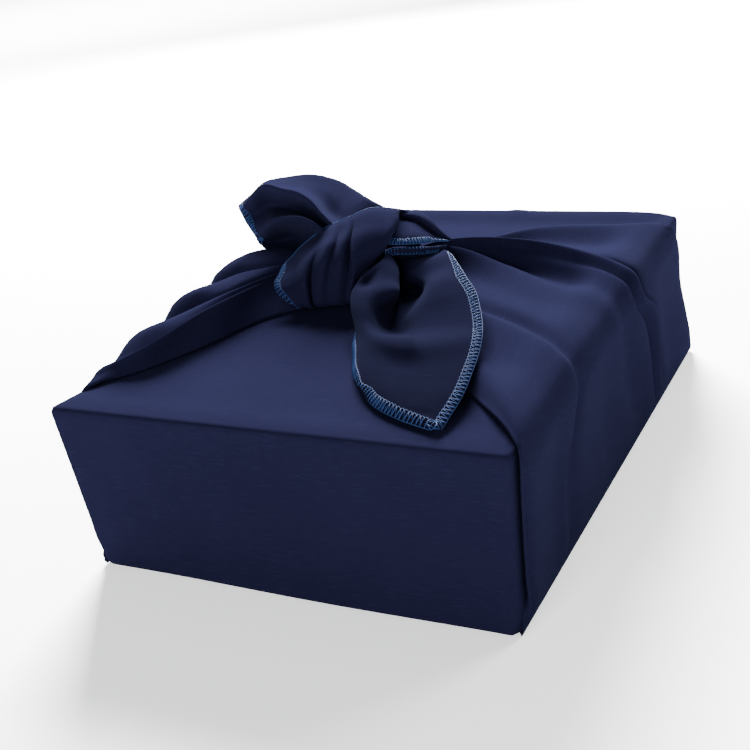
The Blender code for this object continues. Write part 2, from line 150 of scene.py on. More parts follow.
# a fold: y on the floor, y and standing-out at half height, the same near the top,
# y, standing-out and lift over the top edge, y and lift nearer the knot,
# y and lift beside the knot, then y and z where it goes in
wrap = {
    "halfWidth": 134.0, "halfDepth": 185.5, "height": 107.0, "thickness": 0.7,
    "topLean": 3.0, "corner": 3.0, "nearCorner": 7.0, "flare": 11.5, "footWave": 1.2,
    "footTop": 10, "middle": 57, "upper": 86, "footStep": 5.4, "footEase": 6,
    "edgeTurn": (3, 0.9), "soften": {1: 2.2, -1: 0}, "softFrom": 3.6, "softMost": 3,
    # the turned-under edge: how deep, its share at each station, how it tilts over the top edge
    "turnBack": 62.0, "turnShares": (0.3, 0.22, 0.25, 0.9, 0.8, 0.35, 0.2), "turnRows": 8,
    "edgeTilt": (0.25, 0.7), "layer": 1.5, "clearance": 1.1,
    # the ends of the flaps: where they sink and run on under a gathered side
    "tuckHeight": 106.5, "tuckSink": 0.9, "tuckRun": {1: 24, -1: 14}, "tuckAt": 24, "tuckSpan": 38,
    "tuckShort": 1.2, "tuckShares": (0.1, 0.4, 0.7, 1), "flapEnd": (8, 4), "flapShort": 0.8,
    # the far edge is puffed up, with one small bump; the near corner on the left is pulled out
    "farPuff": 3.2, "puffFrom": 100, "puffReach": 40, "bumpAt": 15, "bumpWidth": 7, "pullReach": 60,
    "wallColumns": 22, "wallShare": 0.97, "cornerColumns": 5, "acrossSteps": 11,
    "levelSteps": (2, 4, 5, 6, 6), "endSteps": (5, 3, 3, 9, 10, 12, 5),
    "nearSteps": (3, 2, 2, 2, 3, 4, 4, 4, 4, 4, 4), "farSteps": (3, 2, 2, 2, 3, 4, 4, 4, 4, 4, 2, 2, 3, 3, 3),
    "rightFolds": (
        (-180, -182, 4.0, -182, 4.0, -181, 3.6, 3.4, -133, 2.6, -84, 2.8, -14, 108),     # front edge
        (-172, -174, 6.4, -175, 6.6, -174, 5.5, 8.0, -118, 8.5, -67, 9.5, -8, 112),      # front pleat
        (-142, -138, 3.2, -134, 3.6, -130, 3.8, 6.0, -94, 5.6, -52, 6.0, -2, 111),       # front dip
        (-126, -118, 4.6, -103, 5.4, -97, 5.0, 8.0, -61, 9.0, -32, 9.5, 4, 113),         # long lip
        (-114, -106, 2.0, -92, 2.4, -86, 2.4, 4.6, -50, 5.5, -26, 8.5, 8, 112),          # long crease
        (-86, -84, 4.6, -76, 5.2, -70, 5.0, 7.4, -36, 8.0, -12, 10.0, 16, 115),          # long swell
        (-20, -26, 2.6, -26, 3.4, -28, 4.0, 6.0, -12, 5.8, 14, 8.0, 32, 118),            # wide dip
        (10, 4, 3.4, -2, 4.4, -9, 5.0, 7.0, 14, 6.0, 42, 10.5, 44, 129),                 # low ridge
        (34, 26, 2.6, 14, 3.2, 8, 3.6, 6.0, 35, 2.4, 54, 3.6, 45.5, 124),                # deep valley
        (60, 54, 10.0, 37, 9.4, 27, 7.0, 9.0, 47, 8.8, 62, 11.0, 47, 127.5),             # inner arc
        (67, 62, 4.4, 45, 4.2, 33, 4.6, 7.6, 52, 10.6, 66, 14.4, 48, 129),               # arc crease
        (78, 76, 12.5, 61, 12.0, 44, 9.0, 11.8, 59, 16.6, 70, 19.6, 49, 132),            # main ridge
        (86, 84, 7.0, 69, 6.4, 54, 5.2, 8.2, 67, 11.6, 76, 14.5, 51, 129),               # crease behind it
        (98, 95, 9.0, 79, 8.6, 62, 6.4, 9.0, 76, 9.8, 83, 11.2, 54, 127),                # outer arc
        (128, 122, 4.2, 112, 4.4, 102, 4.0, 6.0, 106, 3.4, 104, 5.0, 64, 119),           # back valley
        (166, 163, 6.0, 156, 5.4, 143, 4.6, 6.0, 137, 8.0, 127, 9.5, 76, 120),           # back roll
        (180, 182, 4.0, 173, 4.2, 156, 4.0, 3.6, 147, 2.6, 138, 3.0, 86, 112),           # back edge
    ),
    "leftFolds": (
        (-176, -175, 3.4, -172, 3.4, -164, 3.0, 2.2, -136, 2.6, -101, 2.8, -30, 109),    # front edge
        (-167, -165, 4.6, -162, 4.6, -155, 4.2, 4.2, -134, 6.5, -88, 10.0, -16, 113),    # front slope
        (-156, -152, 6.0, -150, 6.0, -146, 5.6, 7.5, -131, 13.0, -70, 19.5, 12, 120),    # front ridge
        (-146, -142, 4.0, -140, 4.0, -136, 3.5, 5.6, -120, 8.0, -61, 14.0, 14, 117),     # front crease
        (-120, -116, 7.0, -114, 7.5, -112, 8.5, 15.0, -96, 15.0, -50, 17.5, 17, 119),    # front swell
        (-98, -96, 8.0, -94, 8.0, -92, 7.5, 12.0, -74, 16.5, -42, 20.0, 21, 121),        # middle ridge
        (-88, -86, 5.0, -85, 5.0, -83, 4.5, 9.0, -64, 11.5, -34, 15.5, 23, 118),         # middle crease
        (-62, -61, 9.0, -60, 10.0, -60, 11.0, 20.5, -47, 19.0, -22, 20.5, 26, 121),      # middle swell
        (-38, -37, 9.0, -36, 9.0, -34, 9.0, 16.0, -18, 19.5, -8, 21.5, 30, 122),         # rear ridge
        (-26, -26, 6.0, -26, 6.5, -25, 6.0, 13.0, -9, 16.5, 0, 19.0, 33, 119),           # rear crease
        (-4, -4, 9.0, -4, 11.0, -5, 12.0, 22.0, 3, 22.0, 11, 23.5, 36, 122),             # rear swell
        (32, 32, 9.0, 31, 10.0, 30, 9.5, 22.0, 27, 23.0, 28, 23.0, 40, 121),             # rear shoulder
        (80, 79, 5.0, 76, 5.0, 72, 3.5, 6.5, 60, 8.0, 48, 11, 44, 117),                  # back valley
        (116, 114, 7.0, 110, 7.0, 104, 5.5, 9.0, 88, 10.0, 66, 12, 50, 117),             # back ridge
        (178, 180, 4.0, 172, 4.0, 157, 3.8, 3.4, 139, 2.6, 100, 3.0, 58, 110),           # back edge
    ),
    # how far in from the wall, height, share of the corner pleat
    "levels": ((0.9, 0.35, 0), (-0.2, 2.4, 0), (0, 15, 0.08), (0, 32, 0.45), (0, 57, 0.8), (0, 86, 1)),
    # x of the stations near the edge, beside the knot, going in and inside, then height and gathering inside
    "rightReach": (100, 55, 12, -8, 112, 0.9), "leftReach": (-118, -100, -72, -48, 118, 0.5),
    # flaps: distance in from the wall, height, turn round the corner, half width
    # the far flap lies over the near one, and its end is folded back under it
    "nearFlap": ((0, 99, 40, 0), (0.1, 104.2, 38, 0), (0.9, 106.2, 38, 0), (4, 106.9, 34, 0),
                 (24, 106.9, 0, 134), (62, 106.7, 0, 133.6), (105, 106.3, 0, 132), (150, 105.9, 0, 130),
                 (205, 105.3, 0, 128), (270, 105.2, 0, 76), (330, 105.2, 0, 20)),
    "farFlap": ((0, 99, 48, 0), (0.1, 104.2, 48, 0), (0.9, 106.2, 48, 0), (4, 106.9, 44, 0),
                (24, 107, 0, 132.5), (62, 107.1, 0, 132), (105, 107.6, 0, 124), (140, 108, 0, 96),
                (165, 109, 0, 72), (199, 109.4, 0, 46), (201, 108.8, 0, 45), (198, 108.1, 0, 46),
                (165, 107.8, 0, 68), (130, 107.0, 0, 90), (80, 106.3, 0, 110)),
}


def lean(z):
    return wrap["topLean"] * min(max(z / wrap["height"], 0), 1)


def footX(side, y):
    extra = wrap["flare"] * (y / wrap["halfDepth"] + 1) / 2 if side > 0 else 0
    return side * (wrap["halfWidth"] + extra)


def foldLine(fold, side, reach):
    floorY, midY, midOut, highY, highOut, edgeY, edgeOut, lift, nearY, nearLift, \
        innerY, innerLift, rootY, rootZ = fold
    width, height, step = wrap["halfWidth"], wrap["height"], wrap["footStep"]
    flare = footX(side, floorY) - side * width
    line = []
    for inset, z, _ in wrap["levels"]:
        if z < wrap["footTop"]:
            line.append((side * (width - inset) + flare, floorY * (1 - inset / wrap["halfDepth"]), z))
        elif z < wrap["upper"]:
            t = min(z / wrap["middle"], 1)
            out = min(midOut, step) * (1 - math.exp(-z / wrap["footEase"])) + max(midOut - step, 0) * t
            line.append((side * (width + lean(z) + out) + flare * (1 - t), floorY + (midY - floorY) * t, z))
        else:
            line.append((side * (width + lean(z) + highOut), highY, z))
    least, perLift = wrap["edgeTurn"]
    soft = min(max(lift - wrap["softFrom"], 0), wrap["softMost"])
    turn, top = least + perLift * lift + wrap["soften"][side] * soft, height + lift
    edgeX = side * (width + wrap["topLean"] + edgeOut)
    shift = (nearY - edgeY) * turn / abs(edgeX - reach[0])
    return line + [(edgeX, edgeY, top - turn),
                   (edgeX - side * 0.3 * turn, edgeY + 0.3 * shift, top - 0.3 * turn),
                   (edgeX - side * turn, edgeY + shift, top),
                   (reach[0], nearY, height + nearLift), (reach[1], innerY, height + innerLift),
                   (reach[2], rootY, rootZ), (reach[3], reach[5] * rootY + 1, 0.8 * rootZ + 0.2 * reach[4])]


def turnedEdge(edge, beside, side, cornerY):
    # the edge of a gathered side folds under itself and lies against the box
    levels, layer, rows = wrap["levels"], wrap["layer"], wrap["turnRows"]
    tilt = dict(enumerate(wrap["edgeTilt"], len(levels)))
    away, out = np.sign(cornerY), []
    for k, (point, inner) in enumerate(zip(edge, beside)):
        level = levels[k] if k < len(levels) else None
        if level and level[2] == 0:
            foot = np.array([footX(side, cornerY) - side * level[0],
                             cornerY * (1 - level[0] / wrap["halfDepth"]), point[2]])
            out.append([point + (foot - point) * t for t in np.linspace(0.88, 0.12, rows)])
            continue
        up = tilt.get(k, 0.0 if level else 1.0)
        normal = np.array([side * (1 - up), 0, up])
        normal /= np.linalg.norm(normal)
        along = np.array([0, away, 0]) if k < len(levels) + 3 else point - inner
        along = along - normal * along.dot(normal)
        along /= np.linalg.norm(along)
        if level and level[2] < 0.2:
            out.append([point + np.array([0, away * 0.2 * n, 0]) - normal * n
                        for n in np.linspace(2.4, 0.3, rows)])
            continue
        flare = (footX(side, cornerY) - side * wrap["halfWidth"]) * max(0, 1 - point[2] / wrap["middle"])
        outside = abs(point[0]) - (wrap["halfWidth"] + lean(point[2]) + abs(flare))
        above = point[2] - wrap["height"]
        room = max((1 - up) * outside + up * above - wrap["clearance"], layer)
        deep = wrap["turnBack"] * (level[2] if level else wrap["turnShares"][k - len(levels)])
        # how far along the sheet and how far beneath it, from the inner end to the rounded edge
        turns = [(-deep, room), (-deep * 0.6, room), (-deep * 0.3, 0.5 * (room + layer)), (-0.12 * deep, layer),
                 (0.0, layer), (0.5 * layer, 0.85 * layer), (0.75 * layer, 0.5 * layer),
                 (0.5 * layer, 0.15 * layer)]
        out.append([point + along * a - normal * n for a, n in turns])
    return [np.array([row[i] for row in out]) for i in range(rows)]


def gatheredSide(folds, side, reach):
    lines = np.array([foldLine(fold, side, reach) for fold in folds])
    middle = np.stack([evenSpline(lines[:, k], wrap["acrossSteps"]) for k in range(lines.shape[1])], axis=1)
    front = turnedEdge(middle[0], middle[2], side, -wrap["halfDepth"])
    back = turnedEdge(middle[-1], middle[-3], side, wrap["halfDepth"])
    control = np.concatenate([front, middle, back[::-1]])
    steps = wrap["levelSteps"] + wrap["endSteps"]
    return control, np.array([chordSpline(line, steps) for line in control])


def sheetPoint(course, tuck, column, side, facing):
    inset, z, _, half = course
    part, share = column
    flare = abs(footX(side, facing * wrap["halfDepth"])) - wrap["halfWidth"]
    y = wrap["halfDepth"] + lean(z) - inset
    under = wrap["tuckSink"] if z > wrap["tuckHeight"] else 0
    if z < wrap["footTop"] or half:
        full = half or wrap["halfWidth"] + flare - inset - wrap["flapShort"]
        ends = [1 - end / full for end in wrap["flapEnd"]]
        low, high = {"wall": (0, ends[0]), "corner": ends, "tuck": (ends[1], 1)}[part]
        if part == "tuck":
            # the end of the flap runs on under the gathered side
            z -= under * share
            y -= wrap["tuckRun"][facing] * share * max(0, 1 - abs(inset - wrap["tuckAt"]) / wrap["tuckSpan"])
        share = low + (high - low) * share
        wave = wrap["footWave"] * math.sin(2.3 * share * side + 1) * (1 - share ** 2) * (facing < 0)
        return (side * share * full, facing * (y + (wave if z < wrap["footTop"] else 0)), z)
    flat = wrap["halfWidth"] + lean(z) - inset + flare * max(0, 1 - z / wrap["middle"])
    if part == "wall":
        x = share * (flat - wrap["corner"])
    elif part == "corner":
        x = flat - wrap["corner"] * (1 - math.sin(share * math.pi / 2))
        y -= wrap["corner"] * (1 - math.cos(share * math.pi / 2))
    else:
        x = flat
        y -= wrap["corner"] + share * (tuck - wrap["corner"])
        z -= under * share
    if facing > 0 and part == "wall" and z > wrap["puffFrom"]:
        bump = math.exp(-((side * x - wrap["bumpAt"]) / wrap["bumpWidth"]) ** 2)
        z += (wrap["farPuff"] * (1 - share ** 14) + bump) * max(0, 1 - inset / wrap["puffReach"])
    if side < 0 and facing < 0:
        pull = wrap["nearCorner"] * max(z, 0) / wrap["height"] * max(0, 1 - inset / wrap["pullReach"])
        x += pull * (1 - share if part == "tuck" else x / flat)
    return (side * x, facing * y, z)


def wallSheet(flap, steps, facing, ends):
    columns = ([("wall", s) for s in np.linspace(0, wrap["wallShare"], wrap["wallColumns"])]
               + [("corner", s) for s in np.linspace(0, 1, wrap["cornerColumns"])]
               + [("tuck", s) for s in wrap["tuckShares"]])
    both = [(-1, c) for c in reversed(columns[1:])] + [(1, c) for c in columns]
    courses = [(level[0], level[1], 0, 0) for level in wrap["levels"]] + list(flap)
    grid = []
    for side, column in both:
        line = []
        for k, course in enumerate(courses):
            tuck = course[2]
            if k < len(wrap["levels"]):
                tuck = wrap["halfDepth"] + lean(course[1]) - abs(ends[side][k][1])
                tuck -= wrap["tuckShort"] if wrap["levels"][k][2] < 0.2 else 0
            line.append(sheetPoint(course, tuck, column, side, facing))
        grid.append(chordSpline(line, wrap["levelSteps"] + steps))
    return np.array(grid)


def closeCorner(cloth, column, line, side, facing):
    # the innermost turn of a corner pleat, between a wall's end and a gathered side
    levels = wrap["levels"]
    count = 1 + sum(wrap["levelSteps"])
    turn = []
    for k in range(count):
        a, b = column[k].co, line[k].co
        z = a.z / mm
        if z < 2.5:
            inset = np.interp(z, (levels[0][1], levels[1][1]), (levels[0][0], levels[1][0]))
            spot = Vector((footX(side, facing * wrap["halfDepth"]) - side * inset,
                           facing * (wrap["halfDepth"] - inset), z)) * mm
        else:
            deep = min(max((z - 15) / 17, 0), 1) * 0.6 * wrap["layer"] * mm
            spot = (a + b) / 2 - Vector((0, facing * deep, 0))
        turn.append(cloth.mesh.verts.new(spot))
    cloth.strip(column[:count], turn)
    cloth.strip(turn, line[:count])


print("wrap")
cloth = ClothMesh()
rightControl, rightGrid = gatheredSide(wrap["rightFolds"], 1, wrap["rightReach"])
leftControl, leftGrid = gatheredSide(wrap["leftFolds"], -1, wrap["leftReach"])
nearGrid = wallSheet(wrap["nearFlap"], wrap["nearSteps"], -1, {1: rightControl[0], -1: leftControl[0]})
farGrid = wallSheet(wrap["farFlap"], wrap["farSteps"], 1, {1: rightControl[-1], -1: leftControl[-1]})
right, left = cloth.grid(rightGrid), cloth.grid(leftGrid)
near, far = cloth.grid(nearGrid), cloth.grid(farGrid)
closeCorner(cloth, near[-1], right[0], 1, -1)
closeCorner(cloth, far[-1], right[-1], 1, 1)
closeCorner(cloth, near[0], left[0], -1, -1)
closeCorner(cloth, far[0], left[-1], -1, 1)
foot = [e for e in cloth.mesh.edges if e.is_boundary
        and all(abs(v.co.z - wrap["levels"][0][1] * mm) < 1e-6 for v in e.verts)]
bottom = bmesh.ops.contextual_create(cloth.mesh, geom=foot)
for face in bottom["faces"]:
    cloth.lay(face, [(v.co.x / mm, v.co.y / mm) for v in face.verts])
wrapCloth = cloth.toObject("wrap cloth", wrap["thickness"])


# lines across each band of cloth, x y z; the cloth is folded sharply at the creases
knot = {
    "strap": {"creases": (2, 4, 6, 8), "across": 6, "steps": (3, 3, 3, 7, 7, 6, 4, 3, 3, 2),
              "rimStation": 10, "rimShift": (-0.3, 0.4, 0.5), "lines": (
        ((-84, 16, 94.5), (-84, 14, 112.5), (-85.5, 6, 124.5), (-87, -3, 128.5), (-83, -17.5, 128),
         (-81, -27, 126), (-77.5, -32, 122.5), (-73, -33.5, 118.5), (-68, -32.5, 114), (-66, -23.5, 110),
         (-65, -10.5, 109)),
        ((-83.5, 18, 95.5), (-83.5, 16, 113.5), (-85, 8, 125.5), (-86.5, -1, 129.5), (-79, -17, 128.5),
         (-74.5, -27, 126.5), (-69.5, -32.5, 123), (-66, -33.5, 118.5), (-63, -32.5, 112.5),
         (-61, -23.5, 109), (-60, -10.5, 109)),
        ((-81.5, 24, 98), (-81.5, 22, 116), (-83, 14, 128), (-84.5, 5, 132), (-72, -11.5, 132),
         (-67, -22, 129.5), (-63.5, -28.5, 125), (-60.5, -31, 119.5), (-59.5, -30, 111.5),
         (-57.5, -21, 109), (-56.5, -8, 109)),
        ((-75.5, 30, 104), (-75.5, 28, 122), (-77, 20, 134), (-78.5, 11, 138), (-65, -9, 139),
         (-59, -22, 136), (-56.5, -29, 130.5), (-55.5, -30.5, 122), (-54.5, -29.5, 110.5),
         (-52.5, -20.5, 109), (-51.5, -7.5, 109)),
        ((-62.5, 37.5, 113.5), (-62.5, 35.5, 131.5), (-64, 27.5, 143.5), (-65.5, 18.5, 147.5),
         (-57.5, 1, 146), (-55.5, -11, 142), (-55.5, -18.5, 135), (-55.5, -23, 125.5),
         (-54.5, -24.5, 109.5), (-52.5, -15.5, 109), (-51.5, -2.5, 109)),
        ((-55.5, 40.5, 116.5), (-55.5, 38.5, 134.5), (-57, 30.5, 146.5), (-58.5, 21.5, 150.5),
         (-49, 0.5, 150), (-45, -14, 146.5), (-45, -22.5, 140), (-47, -25.5, 129), (-48.5, -26, 110.5),
         (-46.5, -17, 109), (-45.5, -4, 109)),
        ((-51.5, 44.5, 117.5), (-51.5, 42.5, 135.5), (-53, 34.5, 147.5), (-54.5, 25.5, 151.5),
         (-46, 6, 149.5), (-42, -8, 145.5), (-41, -17, 139), (-43, -21.5, 128), (-43.5, -23.5, 111),
         (-41.5, -14.5, 109), (-40.5, -1.5, 109)),
        ((-46.5, 46.5, 119.5), (-46.5, 44.5, 137.5), (-48, 36.5, 149.5), (-49.5, 27.5, 153.5),
         (-39.5, 5.5, 152), (-35, -10, 147.5), (-33.5, -19, 140.5), (-35, -22.5, 129.5), (-37, -23, 111.5),
         (-35, -14, 109), (-34, -1, 109)),
        ((-42.5, 51, 120.5), (-42.5, 49, 138.5), (-44, 41, 150.5), (-45.5, 32, 154.5), (-38.5, 13, 151),
         (-34, -1.5, 146), (-31, -10.5, 137.5), (-30, -15.5, 128), (-33.5, -18.5, 110.5),
         (-31.5, -9.5, 109), (-30.5, 3.5, 109)),
        ((-40.5, 51, 121.5), (-40.5, 49, 139.5), (-42, 41, 151.5), (-43.5, 32, 155.5), (-35, 10, 152.5),
         (-29.5, -5.5, 147.5), (-26.5, -15, 140), (-26, -19, 130), (-31, -19, 112.5), (-29, -10, 109),
         (-28, 3, 109)),
        ((-32.5, 56.5, 123.5), (-32.5, 54.5, 141.5), (-34, 46.5, 153.5), (-35.5, 37.5, 157.5),
         (-27, 13, 154.5), (-23, -3, 149), (-22, -12, 141), (-24.5, -15.5, 130.5), (-30.5, -15, 112),
         (-28.5, -6, 109), (-27.5, 7, 109)),
        ((-23.5, 61, 122.5), (-23.5, 59, 140.5), (-25, 51, 152.5), (-26.5, 42, 156.5), (-18, 19, 154),
         (-15, 3, 149), (-16, -6, 142), (-22.5, -10, 131.5), (-31, -10, 112.5), (-29, -1, 109),
         (-28, 12, 109)),
        ((-15.5, 63, 120.5), (-15.5, 61, 138.5), (-17, 53, 150.5), (-18.5, 44, 154.5), (-12, 24, 153),
         (-10, 9.5, 148.5), (-11.5, 1, 142), (-19.5, -3, 133), (-31.5, -4, 114.5), (-29.5, 5, 110.5),
         (-28.5, 18, 109)),
        ((-18.5, 71.5, 115.5), (-18.5, 69.5, 133.5), (-20, 61.5, 145.5), (-21.5, 52.5, 149.5),
         (-16.5, 35, 146), (-16.5, 22.5, 140.5), (-19.5, 14.5, 134), (-26.5, 10, 125), (-36, 8.5, 109.5),
         (-34, 17.5, 109), (-33, 30.5, 109)),
    )},
    "side": {"creases": (3,), "across": 5, "steps": (6, 6, 6, 6, 6), "lines": (
        ((-34, 70, 143.5), (-26, 70, 143.5), (-15.5, 68, 142.5), (-5.5, 64, 139.5), (3.5, 58, 134.5),
         (13.5, 54, 129.5)),
        ((-28.5, 60, 150), (-21, 60, 149), (-11.5, 60, 148), (-2.5, 58, 144), (5.5, 54, 138),
         (14.5, 52, 131.5)),
        ((-22.5, 47, 151.5), (-16, 49, 149.5), (-7, 50, 147.5), (-0.5, 50, 143), (6, 50, 137.5),
         (14.5, 50, 132)),
        ((-24, 49, 147.5), (-20, 52, 145.5), (-9, 52, 144), (-2.5, 52, 140), (4.5, 51, 135),
         (14.5, 50, 131.5)),
        ((-19, 35, 149.5), (-14, 39, 147), (-6, 43, 143.5), (-0.5, 46, 139), (5, 48, 134.5),
         (14.5, 49, 131.5)),
        ((-15.5, 22, 147.5), (-10, 27, 145.5), (-2.5, 33, 143), (2, 40, 139), (6, 45, 135),
         (14, 48.5, 131.5)),
        ((-15, 16, 144.5), (-7, 20, 143.5), (-0.5, 26, 142), (4, 34, 138.5), (6, 43, 135),
         (13.5, 48, 131.5)),
        ((-16, 12, 141), (-4.5, 14, 140.5), (2, 20, 139), (6, 28, 137), (8.5, 37, 135), (18.5, 45, 133)),
    )},
    "roll": {"creases": (), "across": 6, "steps": (6, 6, 6, 6, 6), "lines": (
        ((-16, 11, 136), (-11.5, 11, 138.5), (-4.5, 13, 138.5), (2.5, 18, 137.5), (9.5, 26, 135),
         (16, 39, 132)),
        ((-14, 9, 134), (-9.5, 9, 136.5), (-3, 11, 137), (3, 16, 136), (10, 25, 133.5), (16.5, 38, 131.5)),
        ((-13.5, 11, 131), (-9.5, 11, 133.5), (-3.5, 13, 133.5), (2.5, 18, 132.5), (9, 27, 131),
         (16, 39, 129.5)),
        ((-15.5, 18, 127.5), (-11.5, 18, 128.5), (-6.5, 20, 128.5), (0, 25, 127.5), (6.5, 32, 127),
         (15, 41, 128)),
        ((-19, 30, 123), (-15.5, 30, 123), (-12, 32, 122.5), (-5, 36, 122), (3, 41, 123), (12, 46, 125.5)),
    )},
    "heart": {"wide": (0, 1, 0), "around": 24, "steps": 3, "rows": (
        # x, y, z, half width, half height
        (-80, 4, 118, 20, 8), (-66, 6, 120, 26, 11), (-48, 10, 122, 30, 14), (-28, 18, 120, 30, 13),
        (-8, 30, 112, 22, 5))},
}


def bandGrid(spec):
    # sharp at the creases, round between them
    lines = np.array(spec["lines"], dtype=float)
    breaks = [0] + list(spec["creases"]) + [len(lines) - 1]
    across = []
    for station in range(lines.shape[1]):
        parts = [evenSpline(lines[a:b + 1, station], spec["across"])[:-1] for a, b in zip(breaks, breaks[1:])]
        across.append(np.concatenate(parts + [lines[-1:, station]]))
    return np.array([chordSpline(line, spec["steps"]) for line in np.array(across).transpose(1, 0, 2)])


def tubeGrid(spec):
    rows = np.array(spec["rows"], dtype=float)
    lines = chordSpline(rows, (spec["steps"],) * (len(rows) - 1))
    across = Vector(spec["wide"])
    grid = np.zeros((spec["around"], len(lines), 3))
    for k, (x, y, z, wide, high) in enumerate(lines):
        along = Vector(lines[min(k + 1, len(lines) - 1), :3] - lines[max(k - 1, 0), :3]).normalized()
        across = (across - along * across.dot(along)).normalized()
        up = along.cross(across).normalized()
        for i in range(spec["around"]):
            a = 2 * math.pi * i / spec["around"]
            grid[i, k] = Vector((x, y, z)) + across * (wide * math.cos(a)) + up * (high * math.sin(a))
    return grid


print("knot")
cloth = ClothMesh()
knotGrids = {name: bandGrid(spec) for name, spec in knot.items() if "lines" in spec}
for grid in knotGrids.values():
    cloth.grid(grid)
knotCloth = cloth.toObject("knot cloth", wrap["thickness"])
cloth = ClothMesh()
rings = cloth.grid(tubeGrid(knot["heart"]), closed=True)
for end in (0, -1):
    cloth.mesh.faces.new([ring[end] for ring in rings])
heartCloth = cloth.toObject("heart cloth")


